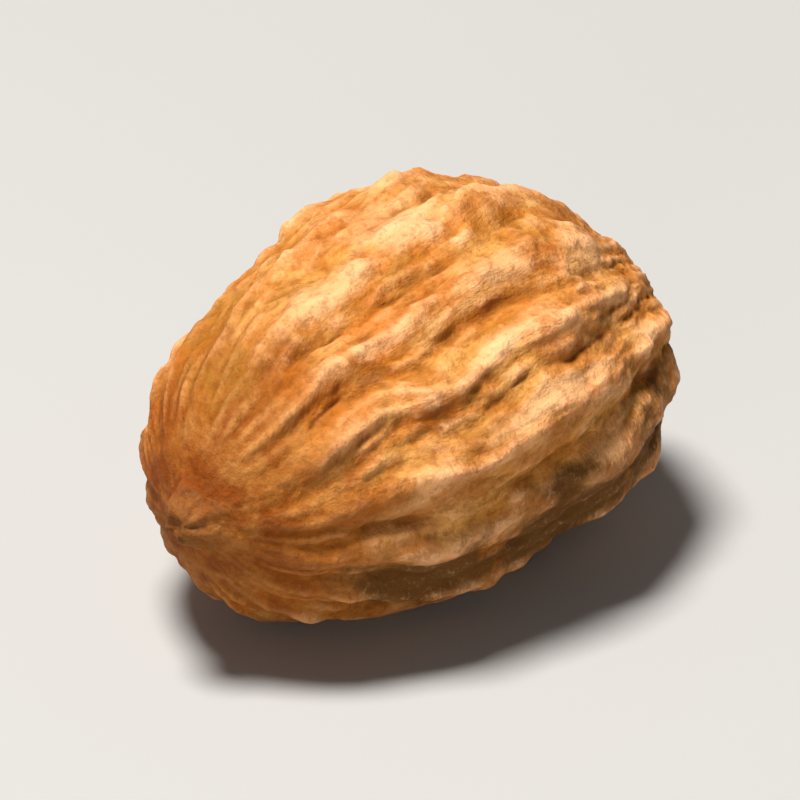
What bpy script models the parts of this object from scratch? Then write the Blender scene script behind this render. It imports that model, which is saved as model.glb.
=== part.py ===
"""One dried fruit of sharp-leaf galangal, lying on its side.

It is a spindle-shaped pod with wavy, knobbly ribs from end to end. The stump of its stalk is at
-X and the dry scar of its flower at +X. Lengths are in metres and +Z is up.
"""

import math

import bmesh
import bpy
from mathutils import Matrix, Vector, noise

MM = 0.001

HUSK_COLOUR = (0.52, 0.25, 0.085, 1.0)
HUSK_ROUGHNESS = 0.72

# The whole fruit
FRUIT_LENGTH = 16.8 * MM
POD_GIRTH = 9.8 * MM  # across the belly, in the grooves
RIB_COUNT = 15
SIDES_PER_RIB = 7
RINGS = 52

# The bare pod: a higher power draws its end out, and a lower one keeps it blunt
STALK_TAPER = 0.50
FLOWER_TAPER = 0.44
SEED_CHAMBERS = 3  # the cross-section has a blunt corner over each
CORNER_SWELL = 0.045
FIRST_CORNER = math.radians(54)  # where the first corner lies, from +Y towards +Z
SPINE_BEND = 0.3 * MM
HUSK_FROM, HUSK_TO = (0.0, 0.15), (1.0, 0.9)  # where along the pod its unevenness comes and goes

# The ribs
RIB_HEIGHT = 0.38 * MM
RIBS_FROM, RIBS_TO = (0.0, 0.17), (1.0, 0.88)  # where along the pod they rise and die away
GROOVE_AT_STALK, GROOVE_AT_FLOWER = 0.9, 1.7  # a higher power leaves a narrower groove
GROOVE_CHANGE = 0.5
FIRST_RIB = math.radians(20)  # its angle at mid-length
RIB_TWIST = math.radians(-12)  # from the stalk to the flower
RIB_WANDER = math.radians(6)
WANDER_SIZE = 3.6 * MM
WANDER_PLACE = Vector((39.7, 1.7, 33.1))
KNOB_STRENGTH = 0.7
BRIDGE_STRENGTH = 0.7
SIDE_RIB_HEIGHT = 0.30 * MM
SIDE_RIB_SHARPNESS = 4
SIDE_RIB_SHARE = 0.3  # a higher value makes them longer

# What changes along each rib or groove follows a noise: how long its swells are, its step from one
# rib or groove to the next, and which pattern it takes
KNOBS = (1.5 * MM, 3.7, 7.7)
BRIDGES = (2.1 * MM, 5.3, 11.9)
SIDE_RIBS = (2.2 * MM, 7.9, 23.5)
GROOVES = (2.6 * MM, 9.1, 41.5)

# The uneven swell and shrinkage of the dried husk
LUMP_HEIGHT = 0.45 * MM
LUMP_SIZE = 4.2 * MM
LUMP_PLACE = Vector((29.0, 17.0, 3.0))  # picks one pattern of lumps from the noise

# The stump and the scar run into the pod: a higher power leaves a sharper corner
JOIN_POWER = 3.5
RIM_TEETH = 2.0  # a higher value tears their rims into more teeth

# The stump of the stalk
STUMP_LENGTH = 0.6 * MM
STUMP_RADIUS = 0.45 * MM
STUMP_FLARE = 0.9  # how much wider it is at its foot than at its tip
STUMP_DOME = 0.3 * STUMP_LENGTH
STUMP_RAGGED = 0.35
STUMP_HOLLOW = 0.15 * MM
STUMP_HOLLOW_RIM = 0.8 * STUMP_RADIUS
STUMP_ROOT = (4 * STUMP_LENGTH, 2 * STUMP_LENGTH)  # how far down it fades into the pod
STUMP_LEAN = Vector((0.0, -0.25 * MM, 0.15 * MM))
STUMP_LEAN_REACH = 3 * STUMP_LENGTH

# The scar of the flower
SCAR_HEIGHT = 0.45 * MM
SCAR_RADIUS = 0.9 * MM
SCAR_HOLLOW = 0.35 * MM
SCAR_HOLLOW_RIM = 0.9 * SCAR_RADIUS
SCAR_ROOT = (4 * SCAR_HEIGHT, 2 * SCAR_HEIGHT)
SCAR_RAGGED = 0.3
SCAR_PATTERN = 4.0

# The flat spot under the belly, and how steeply down and how near the belly the husk is worn smooth
FLAT_SINK = 0.28 * MM
WORN_SLOPE = (0.70, 0.95)
WORN_REACH = (0.50, 0.08)
CUT_TOLERANCE = 0.001 * MM

STALK_TIP = -FRUIT_LENGTH / 2
FLOWER_TIP = FRUIT_LENGTH / 2
POD_START = STALK_TIP + STUMP_LENGTH
POD_END = FLOWER_TIP - SCAR_HEIGHT
BELLY = STALK_TAPER / (STALK_TAPER + FLOWER_TAPER)


def smooth_step(low, high, value):
    """Rises smoothly from 0 at low to 1 at high."""
    share = min(max((value - low) / (high - low), 0.0), 1.0)
    return share * share * (3 - 2 * share)


def pod_share(x):
    """How far along the bare pod x lies: 0 at the stalk, 1 at the flower."""
    return min(max((x - POD_START) / (POD_END - POD_START), 0.0), 1.0)


def pod_radius(x):
    share = pod_share(x)
    fullest = BELLY**STALK_TAPER * (1 - BELLY) ** FLOWER_TAPER
    return POD_GIRTH / 2 * share**STALK_TAPER * (1 - share) ** FLOWER_TAPER / fullest


def torn_rim(angle, ragged, pattern):
    """Draws a round rim in and out at random, by the share ragged of its radius."""
    place = Vector((RIM_TEETH * math.cos(angle), RIM_TEETH * math.sin(angle), pattern))
    return 1 + ragged * noise.noise(place)


def stump_radius(x, angle):
    """A small broken stub that widens towards the pod and runs on into it."""
    depth = x - STALK_TIP
    dome = math.sqrt(1 - (1 - min(depth / STUMP_DOME, 1.0)) ** 2)
    flare = 1 + STUMP_FLARE * min(depth / STUMP_LENGTH, 1.0) ** 2
    torn = torn_rim(angle, STUMP_RAGGED, depth / STUMP_RADIUS)
    return STUMP_RADIUS * torn * dome * flare * smooth_step(*STUMP_ROOT, depth)


def scar_radius(x, angle):
    """A low collar with a torn rim."""
    depth = FLOWER_TIP - x
    dome = math.sqrt(1 - (1 - min(depth / SCAR_HEIGHT, 1.0)) ** 2)
    torn = torn_rim(angle, SCAR_RAGGED, SCAR_PATTERN)
    return SCAR_RADIUS * torn * dome * smooth_step(*SCAR_ROOT, depth)


def rib_angle(turn, x):
    """Shifts a line at the angle turn sideways, as the twisting, wandering rib on it runs."""
    radius = pod_radius(x)
    spot = Vector((x, radius * math.cos(turn), radius * math.sin(turn)))
    twist = RIB_TWIST * x / FRUIT_LENGTH
    return turn + FIRST_RIB + twist - RIB_WANDER * noise.noise(spot / WANDER_SIZE + WANDER_PLACE)


def swell(x, number, kind):
    """Noise along the rib or groove of this number, from about -1 to 1."""
    length, step, pattern = kind
    return noise.noise(Vector((x / length, step * number, pattern)))


def groove_power(x, gap):
    """How narrow the groove is, from the wide ones at the stalk to the narrow ones at the flower."""
    power = GROOVE_AT_STALK + (GROOVE_AT_FLOWER - GROOVE_AT_STALK) * pod_share(x)
    return power * (1 + GROOVE_CHANGE * swell(x, gap, GROOVES))


def rib_height(turn, x):
    """Height of the husk above its grooves: knobbly ribs, bridges and short side ribs between them."""
    phase = RIB_COUNT * turn / math.tau
    dip = 0.5 - 0.5 * math.cos(math.tau * phase)
    rib = round(phase) % RIB_COUNT
    gap = math.floor(phase) % RIB_COUNT
    groove = dip ** groove_power(x, gap)
    knob = 1 + KNOB_STRENGTH * swell(x, rib, KNOBS)
    bridge = BRIDGE_STRENGTH * max(swell(x, gap, BRIDGES), 0.0)
    side_rib = max(SIDE_RIB_SHARE + swell(x, gap, SIDE_RIBS), 0.0) * dip**SIDE_RIB_SHARPNESS
    height = RIB_HEIGHT * (knob * (1 - groove) + bridge * groove) + SIDE_RIB_HEIGHT * side_rib
    share = pod_share(x)
    return height * smooth_step(*RIBS_FROM, share) * smooth_step(*RIBS_TO, share)


def husk_point(direction):
    """Takes a point of the unit sphere to its place on the husk."""
    x = FRUIT_LENGTH / 2 * direction.x
    turn = math.atan2(direction.z, direction.y)
    angle = rib_angle(turn, x)
    outward = Vector((0.0, math.cos(angle), math.sin(angle)))
    radii = pod_radius(x), stump_radius(x, turn), scar_radius(x, turn)
    radius = sum(value**JOIN_POWER for value in radii) ** (1 / JOIN_POWER)
    spot = Vector((x, 0.0, 0.0)) + radius * outward
    share = pod_share(x)
    worn = smooth_step(*WORN_SLOPE, -outward.z) * smooth_step(*WORN_REACH, abs(share - BELLY))
    husk = smooth_step(*HUSK_FROM, share) * smooth_step(*HUSK_TO, share) * (1 - worn)
    radius *= 1 + CORNER_SWELL * husk * math.cos(SEED_CHAMBERS * (angle - FIRST_CORNER))
    radius += husk * LUMP_HEIGHT * noise.noise(spot / LUMP_SIZE + LUMP_PLACE)
    radius += rib_height(turn, x) * (1 - worn)
    spine = Vector((0.0, SPINE_BEND * (1 - direction.x**2), 0.0))
    spine += STUMP_LEAN * smooth_step(POD_START + STUMP_LEAN_REACH, STALK_TIP, x)
    if x > POD_END:
        x -= SCAR_HOLLOW * smooth_step(SCAR_HOLLOW_RIM, 0.0, radius)
    elif x < POD_START:
        x += STUMP_HOLLOW * smooth_step(STUMP_HOLLOW_RIM, 0.0, radius)
    return Vector((x, 0.0, 0.0)) + spine + radius * outward


def make_husk():
    mesh = bmesh.new()
    poles_along_x = Matrix.Rotation(math.radians(90), 4, "Y")
    bmesh.ops.create_uvsphere(
        mesh,
        u_segments=RIB_COUNT * SIDES_PER_RIB,
        v_segments=RINGS,
        radius=1.0,
        matrix=poles_along_x,
    )
    for vert in mesh.verts:
        vert.co = husk_point(vert.co.normalized())
    return mesh


def cut_flat_spot(mesh):
    """Cuts the belly level a little above its lowest point and closes it with one flat face."""
    lowest = min(vert.co.z for vert in mesh.verts)
    bmesh.ops.bisect_plane(
        mesh,
        geom=mesh.verts[:] + mesh.edges[:] + mesh.faces[:],
        dist=CUT_TOLERANCE,
        plane_co=(0.0, 0.0, lowest + FLAT_SINK),
        plane_no=(0.0, 0.0, -1.0),
        clear_outer=True,
    )
    rim = [edge for edge in mesh.edges if edge.is_boundary]
    bmesh.ops.holes_fill(mesh, edges=rim)


def stand_on_origin(mesh):
    """Moves the fruit so that the origin is under the middle of its box."""
    places = [[vert.co[k] for vert in mesh.verts] for k in range(3)]
    low = [min(values) for values in places]
    high = [max(values) for values in places]
    middle = Vector(((low[0] + high[0]) / 2, (low[1] + high[1]) / 2, low[2]))
    bmesh.ops.translate(mesh, verts=mesh.verts, vec=-middle)


def husk_material():
    material = bpy.data.materials.new("dried_husk")
    material.use_nodes = True
    shader = material.node_tree.nodes["Principled BSDF"]
    shader.inputs["Base Color"].default_value = HUSK_COLOUR
    shader.inputs["Roughness"].default_value = HUSK_ROUGHNESS
    shader.inputs["Metallic"].default_value = 0.0
    return material


def make_fruit(collection):
    husk = make_husk()
    cut_flat_spot(husk)
    stand_on_origin(husk)
    bmesh.ops.recalc_face_normals(husk, faces=husk.faces)
    data = bpy.data.meshes.new("galangal_fruit")
    husk.to_mesh(data)
    husk.free()
    data.shade_smooth()
    data.set_sharp_from_angle(angle=math.radians(50))
    data.materials.append(husk_material())
    fruit = bpy.data.objects.new("galangal_fruit", data)
    collection.objects.link(fruit)


for old in list(bpy.data.objects):
    bpy.data.objects.remove(old, do_unlink=True)
fruit_parts = bpy.data.collections.new("sharp_leaf_galangal_fruit")
bpy.context.scene.collection.children.link(fruit_parts)
make_fruit(fruit_parts)
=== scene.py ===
import math

import bmesh
import bpy
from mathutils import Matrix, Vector, noise


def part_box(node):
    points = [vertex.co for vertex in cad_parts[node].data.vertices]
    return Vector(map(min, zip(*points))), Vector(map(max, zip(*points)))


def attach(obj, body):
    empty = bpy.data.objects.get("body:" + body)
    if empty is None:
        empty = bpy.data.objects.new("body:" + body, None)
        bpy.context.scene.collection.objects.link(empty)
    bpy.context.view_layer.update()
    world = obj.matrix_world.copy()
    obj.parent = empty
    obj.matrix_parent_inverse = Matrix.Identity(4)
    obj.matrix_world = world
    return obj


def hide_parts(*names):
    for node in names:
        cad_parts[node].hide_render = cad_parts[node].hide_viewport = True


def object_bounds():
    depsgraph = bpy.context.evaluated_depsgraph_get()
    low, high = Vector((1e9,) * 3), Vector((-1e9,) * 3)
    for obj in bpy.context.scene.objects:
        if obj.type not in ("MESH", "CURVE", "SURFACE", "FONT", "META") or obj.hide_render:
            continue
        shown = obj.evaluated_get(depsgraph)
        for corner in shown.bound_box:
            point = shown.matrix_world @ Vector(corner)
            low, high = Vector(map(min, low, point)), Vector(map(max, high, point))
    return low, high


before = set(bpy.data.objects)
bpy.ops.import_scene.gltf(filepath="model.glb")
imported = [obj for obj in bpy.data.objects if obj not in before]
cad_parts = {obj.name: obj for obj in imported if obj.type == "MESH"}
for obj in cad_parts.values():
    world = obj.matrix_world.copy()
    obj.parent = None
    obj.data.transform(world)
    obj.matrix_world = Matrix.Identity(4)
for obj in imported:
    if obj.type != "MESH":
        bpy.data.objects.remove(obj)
cad_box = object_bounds()


# The husk. One dried fruit is a leathery pod, drawn out to a stalk stump at one end and closed by
# the scar of its flower at the other. As it dries, the skin sinks between the strands that run
# along it and leaves fifteen uneven, knobbly ribs, bridged here and there, with short ones between.
MM = 0.001
FRUIT_LENGTH = 16.8 * MM
POD_GIRTH = 9.8 * MM  # across the belly, in the grooves
STALK_TAPER = 0.50
FLOWER_TAPER = 0.44
SEED_CHAMBERS = 3  # the cross-section has a blunt corner over each
CORNER_SWELL = 0.045
FIRST_CORNER = math.radians(54)
SPINE_BEND = 0.3 * MM
HUSK_FROM, HUSK_TO = (0.0, 0.15), (1.0, 0.9)

# The ribs. Where a value names two places, what it is about comes or goes between them.
RIB_COUNT = 15
RIB_HEIGHT = 0.38 * MM
RIBS_FROM, RIBS_TO = (0.0, 0.17), (1.0, 0.88)
GROOVE_AT_STALK, GROOVE_AT_FLOWER = 0.9, 1.7
GROOVE_CHANGE = 0.5
FIRST_RIB = math.radians(20)
RIB_TWIST = math.radians(-12)
RIB_WANDER = math.radians(6)
WANDER_SIZE = 3.6 * MM
WANDER_PLACE = Vector((39.7, 1.7, 33.1))
KNOB_STRENGTH = 0.7
BRIDGE_STRENGTH = 0.7
SIDE_RIB_HEIGHT = 0.30 * MM
SIDE_RIB_SHARPNESS = 4
SIDE_RIB_SHARE = 0.3
# How long the swells along a rib or groove are, their step to the next one, and their pattern.
KNOBS = (1.5 * MM, 3.7, 7.7)
BRIDGES = (2.1 * MM, 5.3, 11.9)
SIDE_RIBS = (2.2 * MM, 7.9, 23.5)
GROOVES = (2.6 * MM, 9.1, 41.5)

# The uneven swell and shrinkage of the whole husk.
LUMP_HEIGHT = 0.45 * MM
LUMP_SIZE = 4.2 * MM
LUMP_PLACE = Vector((29.0, 17.0, 3.0))

# The stump of the stalk and the scar of the flower, which run into the pod.
JOIN_POWER = 3.5
RIM_TEETH = 2.0
STUMP_LENGTH = 0.6 * MM
STUMP_RADIUS = 0.45 * MM
STUMP_FLARE = 0.9
STUMP_DOME = 0.3 * STUMP_LENGTH
STUMP_RAGGED = 0.35
STUMP_HOLLOW = 0.15 * MM
STUMP_HOLLOW_RIM = 0.8 * STUMP_RADIUS
STUMP_ROOT = (4 * STUMP_LENGTH, 2 * STUMP_LENGTH)
STUMP_LEAN = Vector((0.0, -0.25 * MM, 0.15 * MM))
STUMP_LEAN_REACH = 3 * STUMP_LENGTH
SCAR_HEIGHT = 0.45 * MM
SCAR_RADIUS = 0.9 * MM
SCAR_HOLLOW = 0.35 * MM
SCAR_HOLLOW_RIM = 0.9 * SCAR_RADIUS
SCAR_ROOT = (4 * SCAR_HEIGHT, 2 * SCAR_HEIGHT)
SCAR_RAGGED = 0.3
SCAR_PATTERN = 4.0

# The belly, worn smooth round the flat spot that it lies on.
WORN_SLOPE = (0.70, 0.95)
WORN_REACH = (0.50, 0.08)
WORN_SMOOTHING = 0.7
FLAT_SINK = 0.28 * MM

STALK_TIP = -FRUIT_LENGTH / 2
FLOWER_TIP = FRUIT_LENGTH / 2
POD_START = STALK_TIP + STUMP_LENGTH
POD_END = FLOWER_TIP - SCAR_HEIGHT
BELLY = STALK_TAPER / (STALK_TAPER + FLOWER_TAPER)


def smooth_step(low, high, value):
    """Rises smoothly from 0 at low to 1 at high."""
    share = min(max((value - low) / (high - low), 0.0), 1.0)
    return share * share * (3 - 2 * share)


def pod_share(x):
    """0 at the stalk end of the pod, 1 at the flower end."""
    return min(max((x - POD_START) / (POD_END - POD_START), 0.0), 1.0)


def pod_radius(x):
    share = pod_share(x)
    fullest = BELLY**STALK_TAPER * (1 - BELLY) ** FLOWER_TAPER
    return POD_GIRTH / 2 * share**STALK_TAPER * (1 - share) ** FLOWER_TAPER / fullest


def torn_rim(turn, ragged, pattern):
    """Draws a round rim in and out at random, by the share ragged of its radius."""
    place = Vector((RIM_TEETH * math.cos(turn), RIM_TEETH * math.sin(turn), pattern))
    return 1 + ragged * noise.noise(place)


def stump_radius(x, turn):
    depth = x - STALK_TIP
    dome = math.sqrt(max(1 - (1 - min(depth / STUMP_DOME, 1.0)) ** 2, 0.0))
    flare = 1 + STUMP_FLARE * min(depth / STUMP_LENGTH, 1.0) ** 2
    torn = torn_rim(turn, STUMP_RAGGED, depth / STUMP_RADIUS)
    return STUMP_RADIUS * torn * dome * flare * smooth_step(*STUMP_ROOT, depth)


def scar_radius(x, turn):
    depth = FLOWER_TIP - x
    dome = math.sqrt(max(1 - (1 - min(depth / SCAR_HEIGHT, 1.0)) ** 2, 0.0))
    torn = torn_rim(turn, SCAR_RAGGED, SCAR_PATTERN)
    return SCAR_RADIUS * torn * dome * smooth_step(*SCAR_ROOT, depth)


def rib_angle(turn, x):
    """Where the line that starts at the angle turn has twisted and wandered to at x."""
    radius = pod_radius(x)
    spot = Vector((x, radius * math.cos(turn), radius * math.sin(turn)))
    twist = RIB_TWIST * x / FRUIT_LENGTH
    return turn + FIRST_RIB + twist - RIB_WANDER * noise.noise(spot / WANDER_SIZE + WANDER_PLACE)


# The finer relief along the ribs and grooves, none of it over 0.16 mm high: the beaded strand on
# each rib, the crease in each groove, and thin lines that run over both alike.
STRAND_HEIGHT, STRAND_SHARPNESS = 0.13 * MM, 5
STRAND_SWAY, STRAND_SWAYS = 0.09, (1.2 * MM, 2.9, 4.6)
BEADS, BEAD_SHARE, BEAD_STRENGTH, BEAD_MOST = (0.8 * MM, 6.1, 2.3), 0.4, 1.5, 1.2
CREASE_DEPTH, CREASE_SHARPNESS = 0.12 * MM, 14
CREASE_SWAY, CREASE_SWAYS = 0.135, (1.2 * MM, 2.9, 7.4)
CREASES, CREASE_ONSET = (1.7 * MM, 4.3, 5.2), (-0.12, 0.25)
FINE_RIBS = 3  # on each rib, with its groove
FINE_RIB_HEIGHT, FINE_RIB_SHARPNESS = 0.080 * MM, 1.4
FINE_RIB_WANDER, FINE_WANDER_SIZE = 0.6, 2.4 * MM
FINE_SWELLS, FINE_SHARE, FINE_STRENGTH, FINE_MOST = (1.0 * MM, 3.3, 15.2), 0.5, 1.4, 1.2
FINE_FROM, FINE_TO = (0.01, 0.08), (1.0, 0.93)


def swell(x, number, kind):
    """Noise along the rib or groove of this number, from about -1 to 1."""
    length, step, pattern = kind
    return noise.noise(Vector((x / length, step * number, pattern)))


def groove_power(x, gap):
    """How narrow the groove is, from the wide ones at the stalk to the narrow ones at the flower."""
    power = GROOVE_AT_STALK + (GROOVE_AT_FLOWER - GROOVE_AT_STALK) * pod_share(x)
    return power * (1 + GROOVE_CHANGE * swell(x, gap, GROOVES))


def crest(phase):
    """1 on the whole numbers of phase, 0 half-way between them."""
    return 0.5 + 0.5 * math.cos(math.tau * phase)


def trough(phase):
    """0 on the whole numbers of phase, 1 half-way between them."""
    return 0.5 - 0.5 * math.cos(math.tau * phase)


def fine_rib(phase, x, skin):
    """The thin, broken lines that run along the husk over ribs and grooves alike."""
    fine_phase = FINE_RIBS * phase + FINE_RIB_WANDER * noise.noise(skin / FINE_WANDER_SIZE)
    number = round(fine_phase) % (FINE_RIBS * RIB_COUNT)
    line = crest(fine_phase) ** FINE_RIB_SHARPNESS
    share = pod_share(x)
    line *= smooth_step(*FINE_FROM, share) * smooth_step(*FINE_TO, share)
    swollen = FINE_SHARE + FINE_STRENGTH * swell(x, number, FINE_SWELLS)
    return line * min(max(swollen, 0.0), FINE_MOST)


def husk_relief(turn, x, skin):
    """Height above the groove floors, and how far the place is a rib, a strand or a crease."""
    phase = RIB_COUNT * turn / math.tau
    dip = trough(phase)
    rib = round(phase) % RIB_COUNT
    gap = math.floor(phase) % RIB_COUNT
    share = pod_share(x)
    groove = dip ** groove_power(x, gap)
    knob = 1 + KNOB_STRENGTH * swell(x, rib, KNOBS)
    bridge = BRIDGE_STRENGTH * max(swell(x, gap, BRIDGES), 0.0)
    side_rib = max(SIDE_RIB_SHARE + swell(x, gap, SIDE_RIBS), 0.0) * dip**SIDE_RIB_SHARPNESS
    height = RIB_HEIGHT * (knob * (1 - groove) + bridge * groove) + SIDE_RIB_HEIGHT * side_rib

    sway = STRAND_SWAY * swell(x, rib, STRAND_SWAYS)
    strand = crest(phase - sway) ** STRAND_SHARPNESS
    bead = max(BEAD_SHARE + BEAD_STRENGTH * swell(x, rib, BEADS), 0.0)
    height += STRAND_HEIGHT * strand * min(bead, BEAD_MOST)
    drift = CREASE_SWAY * swell(x, gap, CREASE_SWAYS)
    crease = trough(phase - drift) ** CREASE_SHARPNESS
    crease *= smooth_step(*CREASE_ONSET, swell(x, gap, CREASES))
    height -= CREASE_DEPTH * crease
    fade = smooth_step(*RIBS_FROM, share) * smooth_step(*RIBS_TO, share)
    line = fine_rib(phase, x, skin)
    marks = {"rise": height / RIB_HEIGHT, "strand": strand * min(bead, 1.0) * fade}
    marks.update(crease=crease * fade, line=line)
    return height * fade + FINE_RIB_HEIGHT * line, marks


# The relief of the skin itself, which is weaker at the stalk end: long folds, shorter wrinkles
# among them, grains in some zones, crumbs all over and a few pits.
STALK_RELIEF, RELIEF_FROM = 0.45, (0.08, 0.30)
FOLD_HEIGHT, FOLD_LENGTH, FOLD_WIDTH = 0.042 * MM, 1.7 * MM, 0.50 * MM
WRINKLE_HEIGHT, WRINKLE_LENGTH, WRINKLE_WIDTH = 0.026 * MM, 0.95 * MM, 0.30 * MM
WRINKLE_PLACE = Vector((0.0, 9 * MM, 0.0))
CREST_SHARPNESS = 3.2
WARP_SIZE, WARP_REACH, WARP_SEED = 2.3 * MM, 0.26 * MM, 5
GRAIN_HEIGHT, GRAIN_SIZE, GRAIN_REACH = 0.035 * MM, 0.62 * MM, 0.45
GRAIN_ZONES = (2.7 * MM, Vector((7.3, 0.0, 0.0)), (-0.25, 0.3))
CRUMB_HEIGHT, CRUMB_SIZE, CRUMB_REACH = 0.018 * MM, 0.30 * MM, 0.5
PIT_DEPTH, PIT_SIZE, PIT_REACH = 0.02 * MM, 0.80 * MM, 0.26
PIT_PLACE = Vector((0.0, 0.0, 40 * MM))
PIT_ZONES = (0.9 * MM, Vector((0.0, 3.0, 0.0)), (0.25, 0.5))
noise.seed_set(WARP_SEED)  # noise_vector takes other offsets in each run unless they are seeded


def dome_at(spot, size, reach):
    """1 at the middle of a scattered grain, 0 at its rim and between the grains."""
    nearest = noise.voronoi(spot / size)[0][0]
    return max(1 - (nearest / reach) ** 2, 0.0)


def zone_at(spot, zones):
    """1 in some zones of the skin and 0 in the others, as a noise of that size and place has it."""
    size, place, edge = zones
    return smooth_step(*edge, noise.noise(spot / size + place))


def crest_noise(place, length, width):
    """Noise with sharp crests that run along the fruit, at most 1."""
    spot = Vector((place.x / length, place.y / width, place.z / width))
    return 1 - CREST_SHARPNESS * abs(noise.noise(spot))


def fine_relief(skin, share):
    """The folds, wrinkles, grains and pits of the skin itself."""
    place = skin + WARP_REACH * noise.noise_vector(skin / WARP_SIZE)
    strength = STALK_RELIEF + (1 - STALK_RELIEF) * smooth_step(*RELIEF_FROM, share)
    fold = crest_noise(place, FOLD_LENGTH, FOLD_WIDTH)
    wrinkle = crest_noise(place + WRINKLE_PLACE, WRINKLE_LENGTH, WRINKLE_WIDTH)
    grain = dome_at(place, GRAIN_SIZE, GRAIN_REACH) * zone_at(skin, GRAIN_ZONES)
    crumb = dome_at(skin, CRUMB_SIZE, CRUMB_REACH)
    pit = dome_at(skin + PIT_PLACE, PIT_SIZE, PIT_REACH) * zone_at(skin, PIT_ZONES)
    height = strength * (FOLD_HEIGHT * fold + WRINKLE_HEIGHT * wrinkle + GRAIN_HEIGHT * grain)
    return height + CRUMB_HEIGHT * crumb - PIT_DEPTH * pit, grain, pit


def husk_point(direction):
    """The place on the husk of a point of the unit sphere, and what the skin is like there."""
    x = FRUIT_LENGTH / 2 * direction.x
    turn = math.atan2(direction.z, direction.y)
    angle = rib_angle(turn, x)
    outward = Vector((0.0, math.cos(angle), math.sin(angle)))
    radii = pod_radius(x), stump_radius(x, turn), scar_radius(x, turn)
    radius = sum(value**JOIN_POWER for value in radii) ** (1 / JOIN_POWER)
    spot = Vector((x, 0.0, 0.0)) + radius * outward
    skin = Vector((x, radius * math.cos(turn), radius * math.sin(turn)))
    share = pod_share(x)
    worn = smooth_step(*WORN_SLOPE, -outward.z) * smooth_step(*WORN_REACH, abs(share - BELLY))
    husk = smooth_step(*HUSK_FROM, share) * smooth_step(*HUSK_TO, share) * (1 - worn)
    radius *= 1 + CORNER_SWELL * husk * math.cos(SEED_CHAMBERS * (angle - FIRST_CORNER))
    radius += husk * LUMP_HEIGHT * noise.noise(spot / LUMP_SIZE + LUMP_PLACE)
    height, marks = husk_relief(turn, x, skin)
    fine, grain, pit = fine_relief(skin, share)
    radius += height * (1 - worn)
    spine = Vector((0.0, SPINE_BEND * (1 - direction.x**2), 0.0))
    spine += STUMP_LEAN * smooth_step(POD_START + STUMP_LEAN_REACH, STALK_TIP, x)
    if x > POD_END:
        x -= SCAR_HOLLOW * smooth_step(SCAR_HOLLOW_RIM, 0.0, radius)
    elif x < POD_START:
        x += STUMP_HOLLOW * smooth_step(STUMP_HOLLOW_RIM, 0.0, radius)
    place = Vector((x, 0.0, 0.0)) + spine + radius * outward
    marks.update(share=share, grain=grain, pit=pit)
    return place, fine * (1 - WORN_SMOOTHING * worn), skin, marks


SKIN_CUTS = 124
MARKS = ("share", "rise", "strand", "crease", "line", "grain", "pit")
SMOOTHING = 0.8
CLOSE_ROUNDS, BROAD_ROUNDS = 6, 70


def make_husk():
    mesh = bmesh.new()
    bmesh.ops.create_cube(mesh, size=2.0)
    bmesh.ops.subdivide_edges(mesh, edges=mesh.edges, cuts=SKIN_CUTS, use_grid_fill=True)
    layers = {name: mesh.verts.layers.float.new(name) for name in MARKS}
    skin_layer = mesh.verts.layers.float_vector.new("skin")
    fine_layer = mesh.verts.layers.float.new("fine")
    for vert in mesh.verts:
        # Evens out the cube's grid, so that its faces come out alike on the sphere.
        grid = Vector([math.tan(value * math.pi / 4) for value in vert.co])
        vert.co, fine, skin, marks = husk_point(grid.normalized())
        vert[skin_layer] = skin / MM
        vert[fine_layer] = fine
        for name, value in marks.items():
            vert[layers[name]] = value
    bmesh.ops.recalc_face_normals(mesh, faces=mesh.faces)
    mesh.normal_update()
    for vert in mesh.verts:
        vert.co += vert[fine_layer] * vert.normal
    mesh.verts.layers.float.remove(fine_layer)
    return mesh


def seat_on_frame(mesh, node):
    """Sets the husk where the solid is, and presses its flat spot onto the surface."""
    low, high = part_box(node)
    own_low = Vector([min(vert.co[k] for vert in mesh.verts) for k in range(3)])
    own_high = Vector([max(vert.co[k] for vert in mesh.verts) for k in range(3)])
    shift = (low + high - own_low - own_high) / 2
    shift.z = low.z - own_low.z - FLAT_SINK
    bmesh.ops.translate(mesh, verts=mesh.verts, vec=shift)
    for vert in mesh.verts:
        vert.co.z = max(vert.co.z, low.z)


def mark_hollows(mesh, name, rounds):
    """Notes how far each point stands out of (above 0) or sinks into the skin round it."""
    smoothed = mesh.copy()
    axes = {"use_axis_x": True, "use_axis_y": True, "use_axis_z": True}
    for _ in range(rounds):
        bmesh.ops.smooth_vert(smoothed, verts=smoothed.verts, factor=SMOOTHING, **axes)
    mesh.normal_update()
    layer = mesh.verts.layers.float.new(name)
    smoothed.verts.ensure_lookup_table()
    for vert in mesh.verts:
        vert[layer] = (vert.co - smoothed.verts[vert.index].co).dot(vert.normal) / MM
    smoothed.free()


def add_piece(name, mesh, material):
    data = bpy.data.meshes.new(name)
    mesh.to_mesh(data)
    mesh.free()
    data.shade_smooth()
    data.materials.append(material)
    piece = bpy.data.objects.new(name, data)
    bpy.context.scene.collection.objects.link(piece)
    return piece


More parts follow.
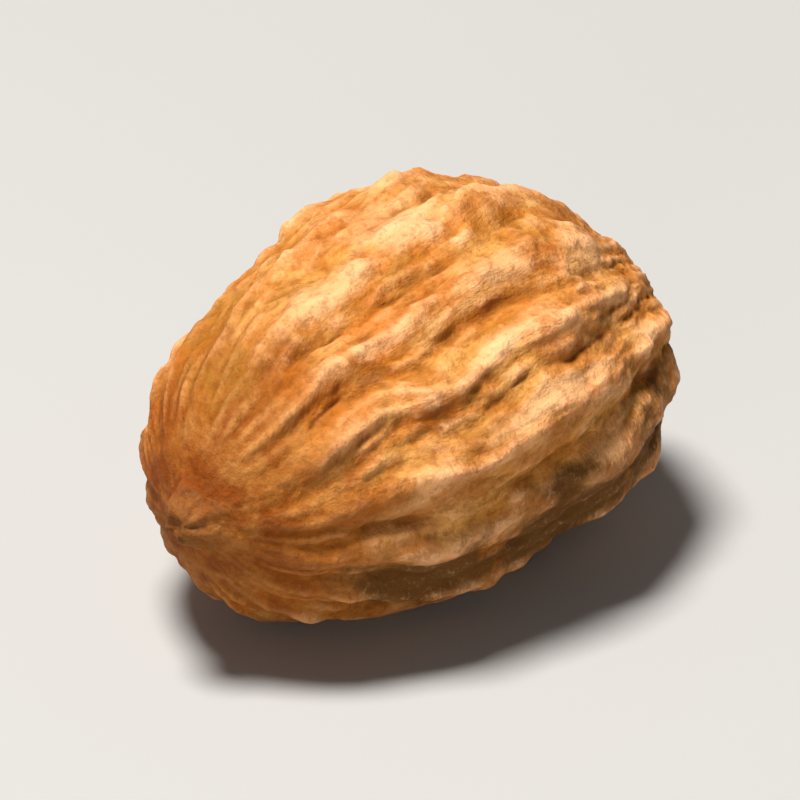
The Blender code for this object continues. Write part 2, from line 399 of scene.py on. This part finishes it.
class Field:
    """A shader value, used in sums as a number is."""

    def __init__(self, finish, socket):
        self.finish = finish
        self.socket = socket

    def maths(self, operation, *values):
        sockets = dict(enumerate(values))
        return self.finish.node("ShaderNodeMath", {"operation": operation}, sockets)

    def __add__(self, other):
        return self.maths("ADD", self, other)

    def __sub__(self, other):
        return self.maths("SUBTRACT", self, other)

    def __rsub__(self, other):
        return self.maths("SUBTRACT", other, self)

    def __mul__(self, other):
        return self.maths("MULTIPLY", self, other)

    __radd__ = __add__
    __rmul__ = __mul__

    def most(self, other):
        return self.maths("MAXIMUM", self, other)

    def ramp(self, low, high):
        """0 below low, 1 above high and smooth between them."""
        settings = {"interpolation_type": "SMOOTHSTEP"}
        sockets = {"Value": self, "From Min": low, "From Max": high}
        return self.finish.node("ShaderNodeMapRange", settings, sockets)


class Finish:
    """One material, built up node by node round its Principled shader."""

    def __init__(self, name):
        self.material = bpy.data.materials.new(name)
        self.material.use_nodes = True
        self.tree = self.material.node_tree
        self.shader = self.tree.nodes["Principled BSDF"]

    def node(self, kind, settings, sockets, output=0):
        made = self.tree.nodes.new(kind)
        for name, value in settings.items():
            setattr(made, name, value)
        for key, value in sockets.items():
            self.feed(made.inputs[key], value)
        return Field(self, made.outputs[output])

    def feed(self, socket, value):
        if isinstance(value, Field):
            self.tree.links.new(value.socket, socket)
        else:
            socket.default_value = value

    def mark(self, name, output="Fac"):
        return self.node("ShaderNodeAttribute", {"attribute_name": name}, {}, output)

    def mix(self, share, first, second):
        """The first colour where share is 0, the second where it is 1."""
        return self.node("ShaderNodeMix", {"data_type": "RGBA"}, {0: share, 6: first, 7: second}, 2)

    def vectors(self, operation, first, second, output=0):
        sockets = {0: first, 1: second}
        return self.node("ShaderNodeVectorMath", {"operation": operation}, sockets, output)

    def drawn_out(self, place, share):
        """Squeezes the place along the fruit, so that a pattern on it comes out longer."""
        return self.vectors("MULTIPLY", place, (share, 1.0, 1.0))

    def cloud(self, place, scale, detail=3.0, rough=0.55):
        """Soft noise from about 0.3 to 0.7."""
        sockets = {"Vector": place, "Scale": scale, "Detail": detail, "Roughness": rough}
        return self.node("ShaderNodeTexNoise", {"noise_dimensions": "3D"}, sockets)


# The colours of the skin, and how much of some is mixed in where they are strongest.
GOLDEN = (0.62, 0.215, 0.026, 1.0)
OCHRE = (0.80, 0.375, 0.090, 1.0)
ORANGE, BLUSH_SHARE = (0.70, 0.185, 0.022, 1.0), 0.8
# The rust is also darkened as painted shade at the stalk end; its flecks and the tint by the flower
# are the skin's own colour.
RUST_AND_SHADE, FLECK_SHARE = (0.235, 0.048, 0.002, 1.0), 0.32
OLIVE, STREAK_SHARE = (0.27, 0.150, 0.026, 1.0), 0.40
# A darker olive, partly painted shade on the stalk end.
OLIVE_SHADE_BROWN = (0.34, 0.140, 0.017, 1.0)
# The peach is partly painted highlight on all that stands out.
PEACH = (0.91, 0.455, 0.200, 1.0)
SIENNA, BLOTCH_SHARE = (0.47, 0.130, 0.010, 1.0), 0.55
# The cream is partly the skin's colour and partly painted highlight.
CREAM, PALE_SHARE, SCURF_SHARE = (0.93, 0.535, 0.265, 1.0), 0.62, 0.36
# The groove brown is partly the skin's colour and partly painted shade.
BROWN = (0.42, 0.135, 0.010, 1.0)
# Umber: painted shade in small hollows, creases and pits, but the skin's own colour in threads and
# at the broken stump.
UMBER, HOLLOW_SHADE_SHARE, THREAD_SHARE = (0.145, 0.045, 0.005, 1.0), 0.62, 0.22
# The darkest brown is painted shade on the low flank.
FLANK_SHADE_BROWN, FLANK_SHADE_SHARE = (0.115, 0.046, 0.008, 1.0), 0.90
SCAR_BROWN = (0.150, 0.050, 0.014, 1.0)
STUMP_BROWN = (0.26, 0.105, 0.032, 1.0)

# Where along the fruit the skin changes colour towards its ends, and how far those edges fray.
FLOWER_TINT = (6.0 * MM, 7.7 * MM)
SCAR_EDGE = (7.55 * MM, 7.90 * MM)
STUMP_EDGE = (-8.10 * MM, -7.70 * MM)
BREAK_EDGE = (-8.30 * MM, -8.18 * MM)
END_FRAY = 2.2 * MM

# Places on the side that faces the camera: millimetres along the fruit, degrees round it, and half
# the length and half the width of the place in millimetres.
ORANGE_BLUSHES = ((-2.1, 112, 1.7, 0.8), (-0.3, 76, 1.0, 1.2), (2.6, 118, 1.2, 0.5))
# Cream places on the crests, partly the skin's colour and partly painted highlight.
CREAM_AND_HIGHLIGHT_PLACES = (
    (1.4, 116, 0.8, 0.6), (-3.0, 94, 2.2, 0.6), (0.2, 84, 1.4, 1.0), (4.6, 138, 1.5, 0.3),
    (-4.0, 178, 2.2, 0.5), (2.4, 178, 0.9, 0.4), (1.0, 158, 3.2, 0.3), (5.2, 155, 2.2, 0.3),
    (4.2, 122, 1.6, 0.5), (-2.8, 118, 1.6, 0.35), (-0.3, 138, 0.9, 0.3), (5.0, 171, 1.0, 0.25),
)
RUSTY_PLACES = (
    (5.4, 105, 1.3, 0.4), (-5.0, 104, 0.9, 0.8), (-2.6, 148, 0.6, 0.5),
    (0.7, 126, 1.6, 0.22), (-5.1, 68, 0.7, 0.6), (-3.4, 128, 0.8, 0.25),
)
# Darker olive places at the stalk end, partly painted shade.
OLIVE_SHADE_PLACES = ((-4.4, 56, 2.4, 1.5), (-6.0, 84, 1.2, 0.9), (-3.4, 82, 1.1, 0.35))
# Places on the low flank that are painted darker: painted shade, not a colour of the skin.
SHADED_FLANK = (
    (-2.8, 208, 3.0, 1.6), (1.5, 203, 3.2, 2.1), (5.0, 192, 2.6, 1.4), (1.2, 186, 1.4, 0.6),
)
PLACE_FRAY, PLACE_EDGE = 1.6, (-0.45, 0.25)


def skin_place(x, angle):
    """Where the skin attribute says that the place is, in millimetres."""
    turn = math.radians(angle) - FIRST_RIB - RIB_TWIST * x * MM / FRUIT_LENGTH
    radius = pod_radius(x * MM) / MM
    return x, radius * math.cos(turn), radius * math.sin(turn)


def cover(finish, skin, fray, places):
    """1 on the places and 0 off them, with edges that the noise frays."""
    covered = None
    for x, angle, half_length, half_width in places:
        offset = finish.vectors("SUBTRACT", skin, skin_place(x, angle))
        offset = finish.vectors("DIVIDE", offset, (half_length, half_width, half_width))
        distance = finish.vectors("LENGTH", offset, (0.0, 0.0, 0.0), "Value")
        one = (PLACE_FRAY * fray - distance).ramp(*PLACE_EDGE)
        covered = one if covered is None else covered.most(one)
    return covered


HUSK_ROUGHNESS, LIFT_SHEEN, THREAD_ROUGHNESS = 0.74, 0.12, 0.10
FIBRE_BUMP, LEATHER_BUMP = 0.5, 0.9
BUMP_STRENGTH, BUMP_DEPTH = 0.9, 0.10 * MM
HUSK_GLOSS = 0.10


def husk_finish():
    """Dry, matt, golden brown skin: cream on its crests, rust-red at the stalk, dark in its grooves,
    with painted highlight and painted shade mixed in.
    """
    finish = Finish("dried_husk")
    skin = finish.mark("skin", "Vector")
    share, rise, line = finish.mark("share"), finish.mark("rise"), finish.mark("line")
    strand, crease = finish.mark("strand"), finish.mark("crease")
    grain, pit = finish.mark("grain"), finish.mark("pit")
    broad, close = finish.mark("broad_hollow"), finish.mark("close_hollow")

    mottle = finish.cloud(skin, 0.42).ramp(0.34, 0.56)
    patches = finish.cloud(skin, 0.95, 4.0).ramp(0.40, 0.60)
    blushes = finish.cloud(finish.drawn_out(skin, 0.6), 0.70).ramp(0.52, 0.66)
    streaks = finish.cloud(finish.drawn_out(skin, 0.30), 2.4, 4.0, 0.6).ramp(0.42, 0.62)
    threads = finish.cloud(finish.drawn_out(skin, 0.30), 7.0, 3.0, 0.6).ramp(0.42, 0.60)
    flecks = finish.cloud(skin, 4.5, 4.0, 0.65).ramp(0.50, 0.62)
    scurf = finish.cloud(skin, 8.0, 3.0, 0.6).ramp(0.52, 0.64)
    stripes = finish.cloud(finish.drawn_out(skin, 0.12), 3.2).ramp(0.44, 0.60)
    blotches = finish.cloud(finish.drawn_out(skin, 0.5), 1.25, 2.0).ramp(0.46, 0.56)
    fray = finish.cloud(skin, 1.6, 4.0, 0.6)

    # The ground colour, with orange blushes, rust at the stalk and darker olive places; at the stalk
    # end both are partly painted shade.
    colour = finish.mix(mottle, GOLDEN, OCHRE)
    blushes = (0.75 * blushes).most(cover(finish, skin, fray, ORANGE_BLUSHES))
    colour = finish.mix(BLUSH_SHARE * blushes, colour, ORANGE)
    # Rust towards the stalk, darkened there by painted shade.
    rust_and_stalk_shade = (1 - share.ramp(0.06, 0.34)) * (0.70 + 0.30 * patches) * (1 - 0.40 * line)
    rust_and_stalk_shade = rust_and_stalk_shade.most(0.85 * cover(finish, skin, fray, RUSTY_PLACES))
    colour = finish.mix(rust_and_stalk_shade, colour, RUST_AND_SHADE)
    colour = finish.mix(STREAK_SHARE * streaks * share.ramp(0.1, 0.4), colour, OLIVE)
    olive_shade = cover(finish, skin, fray, OLIVE_SHADE_PLACES)
    colour = finish.mix(olive_shade * (0.45 + 0.35 * streaks), colour, OLIVE_SHADE_BROWN)

    # Paler on all that stands out, ribs, strands, fine lines and grains: partly their own colour,
    # partly painted highlight.
    raised_pale_and_highlight = 0.40 * rise.ramp(0.50, 1.15) + 0.25 * broad.ramp(0.0, 0.14) + 0.25 * strand
    raised_pale_and_highlight = raised_pale_and_highlight + 0.35 * close.ramp(0.002, 0.024) + 0.15 * grain + 0.15 * stripes
    raised_pale_and_highlight = raised_pale_and_highlight + 0.35 * line.ramp(0.1, 0.8)
    raised_pale_and_highlight = raised_pale_and_highlight * (0.50 + 0.50 * patches) * (0.10 + 0.90 * share.ramp(0.06, 0.32))
    raised_pale_and_highlight = raised_pale_and_highlight * (1 - 0.45 * blushes) * (1 - 0.6 * olive_shade)
    colour = finish.mix(raised_pale_and_highlight, colour, PEACH)
    ribbed = share.ramp(0.04, 0.20)
    # Cream places on the crests, partly the skin's colour and partly painted highlight.
    pale = cover(finish, skin, fray, CREAM_AND_HIGHLIGHT_PLACES) * (0.3 + 0.7 * rise.ramp(0.2, 0.9))
    blotches = blotches * (1 - 0.8 * pale) * (1 - 0.4 * line.ramp(0.3, 0.9)) * ribbed
    colour = finish.mix(BLOTCH_SHARE * blotches, colour, SIENNA)
    colour = finish.mix(PALE_SHARE * pale, colour, CREAM)

    # Grooves partly their own brown, partly painted shade; painted shade in hollows, creases, pits
    # and on the low flank.
    groove_brown_and_shade = (0.30 * (1 - rise.ramp(0.0, 0.55)) + 0.40 * (1 - broad.ramp(-0.16, -0.01))) * ribbed
    groove_brown_and_shade = groove_brown_and_shade + 0.22 * (1 - line.ramp(0.0, 0.30)) * share.ramp(0.02, 0.08)
    colour = finish.mix(groove_brown_and_shade * (0.6 + 0.4 * streaks), colour, BROWN)
    # Painted shade in the small hollows, creases and pits.
    hollow_shade = 0.60 * (1 - close.ramp(-0.030, -0.008)) + 0.1 * pit + 0.3 * crease
    colour = finish.mix(HOLLOW_SHADE_SHARE * hollow_shade * (1 - 0.5 * pale), colour, UMBER)
    colour = finish.mix(THREAD_SHARE * threads * (1 - raised_pale_and_highlight) * (1 - 0.7 * pale), colour, UMBER)
    colour = finish.mix(FLECK_SHARE * flecks, colour, RUST_AND_SHADE)
    # Painted shade along the low flank, kept off the high crests and the cream places.
    flank = cover(finish, skin, fray, SHADED_FLANK) * (1 - 0.75 * rise.ramp(0.8, 1.4)) * (1 - pale)
    colour = finish.mix(FLANK_SHADE_SHARE * flank, colour, FLANK_SHADE_BROWN)
    colour = finish.mix(SCURF_SHARE * scurf * raised_pale_and_highlight, colour, CREAM)

    # The two ends.
    place = finish.node("ShaderNodeTexCoord", {}, {}, "Object")
    along = finish.node("ShaderNodeSeparateXYZ", {}, {0: place}, "X")
    frayed = along + END_FRAY * (fray - 0.5)
    near_flower = along.ramp(*FLOWER_TINT) * (0.10 + 0.45 * blushes + 0.35 * streaks)
    colour = finish.mix(near_flower, colour, RUST_AND_SHADE)
    at_scar, at_stump = frayed.ramp(*SCAR_EDGE), 1 - frayed.ramp(*STUMP_EDGE)
    colour = finish.mix(at_scar * (0.35 + 0.60 * threads), colour, SCAR_BROWN)
    colour = finish.mix(at_stump * (0.35 + 0.55 * threads), colour, STUMP_BROWN)
    broken = 1 - along.ramp(*BREAK_EDGE)
    colour = finish.mix(broken * (0.3 + 0.6 * flecks), colour, UMBER)
    finish.feed(finish.shader.inputs["Base Color"], colour)

    roughness = HUSK_ROUGHNESS - LIFT_SHEEN * raised_pale_and_highlight + THREAD_ROUGHNESS * threads
    finish.feed(finish.shader.inputs["Roughness"], roughness)
    fibres = finish.cloud(finish.drawn_out(skin, 0.2), 9.0, 4.0, 0.65)
    leather = finish.cloud(skin, 6.5, 5.0, 0.7)
    height = FIBRE_BUMP * fibres + LEATHER_BUMP * leather
    sockets = {"Strength": BUMP_STRENGTH, "Distance": BUMP_DEPTH, "Height": height}
    finish.feed(finish.shader.inputs["Normal"], finish.node("ShaderNodeBump", {}, sockets))
    finish.shader.inputs["Specular IOR Level"].default_value = HUSK_GLOSS
    return finish.material


husk_mesh = make_husk()
seat_on_frame(husk_mesh, "galangal_fruit")
mark_hollows(husk_mesh, "close_hollow", CLOSE_ROUNDS)
mark_hollows(husk_mesh, "broad_hollow", BROAD_ROUNDS)
husk = add_piece("husk", husk_mesh, husk_finish())
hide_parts("galangal_fruit")
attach(husk, "root")


# The floor is a plain pale sheet of matt paper, wide enough to fill the view from any side. It is
# only there for the render and is no part of the fruit.
FLOOR_RADIUS = 0.9
FLOOR_SIDES = 96
PAPER_GREY = (0.44, 0.44, 0.44, 1.0)
PAPER_ROUGHNESS = 0.9
PAPER_GLOSS = 0.1

floor_mesh = bmesh.new()
bmesh.ops.create_circle(floor_mesh, cap_ends=True, radius=FLOOR_RADIUS, segments=FLOOR_SIDES)
paper = Finish("pale_floor")
paper.shader.inputs["Base Color"].default_value = PAPER_GREY
paper.shader.inputs["Roughness"].default_value = PAPER_ROUGHNESS
paper.shader.inputs["Specular IOR Level"].default_value = PAPER_GLOSS
floor = add_piece("floor", floor_mesh, paper.material)


# The light is a soft studio light: a key almost overhead, a little to the left, a weak fill from
# low on the camera's side, and an even, near-white surround. The camera looks down on the fruit at
# 29 degrees through a long lens.
VIEW_TURN, VIEW_RISE = math.radians(-45), math.radians(29)
VIEW_DISTANCE = 0.34
VIEW_WIDTH = 20.5 * MM
SENSOR = 36.0
NEAREST_SEEN = 0.01

KEY_DISTANCE, KEY_SIZE, KEY_POWER, KEY_COLOUR = 0.32, 0.10, 1.86, (1.0, 0.965, 0.91)
FILL_DISTANCE, FILL_SIZE, FILL_POWER, FILL_COLOUR = 0.40, 0.26, 0.40, (1.0, 0.97, 0.93)
SURROUND_COLOUR, SURROUND_STRENGTH = (1.0, 0.995, 0.985, 1.0), 0.12

box_low, box_high = cad_box
middle = (box_low + box_high) / 2
up = Vector((0.0, 0.0, 1.0))
right = Vector((math.cos(VIEW_TURN), math.sin(VIEW_TURN), 0.0))
to_viewer = Vector((math.sin(VIEW_TURN), -math.cos(VIEW_TURN), 0.0))


def aim(thing, place, target):
    thing.location = place
    thing.rotation_euler = (place - target).to_track_quat("Z", "Y").to_euler()


def add_softbox(name, toward, distance, size, power, colour):
    light = bpy.data.lights.new(name, "AREA")
    light.shape = "DISK"
    light.size = size
    light.energy = power
    light.color = colour
    lamp = bpy.data.objects.new(name, light)
    bpy.context.scene.collection.objects.link(lamp)
    aim(lamp, middle + distance * toward.normalized(), middle)


key_side = up - 0.20 * right + 0.10 * to_viewer
fill_side = 0.16 * up - 0.2 * right + to_viewer
add_softbox("key", key_side, KEY_DISTANCE, KEY_SIZE, KEY_POWER, KEY_COLOUR)
add_softbox("fill", fill_side, FILL_DISTANCE, FILL_SIZE, FILL_POWER, FILL_COLOUR)

surround = bpy.data.worlds.new("surround")
surround.use_nodes = True
backdrop = surround.node_tree.nodes["Background"]
backdrop.inputs["Color"].default_value = SURROUND_COLOUR
backdrop.inputs["Strength"].default_value = SURROUND_STRENGTH
bpy.context.scene.world = surround
bpy.context.scene.view_settings.view_transform = "Standard"

camera = bpy.data.objects.new("camera", bpy.data.cameras.new("camera"))
camera.data.sensor_width = SENSOR
camera.data.lens = SENSOR * VIEW_DISTANCE / VIEW_WIDTH
camera.data.clip_start = NEAREST_SEEN
to_camera = to_viewer * math.cos(VIEW_RISE) + up * math.sin(VIEW_RISE)
bpy.context.scene.collection.objects.link(camera)
aim(camera, middle + VIEW_DISTANCE * to_camera, middle)
bpy.context.scene.camera = camera
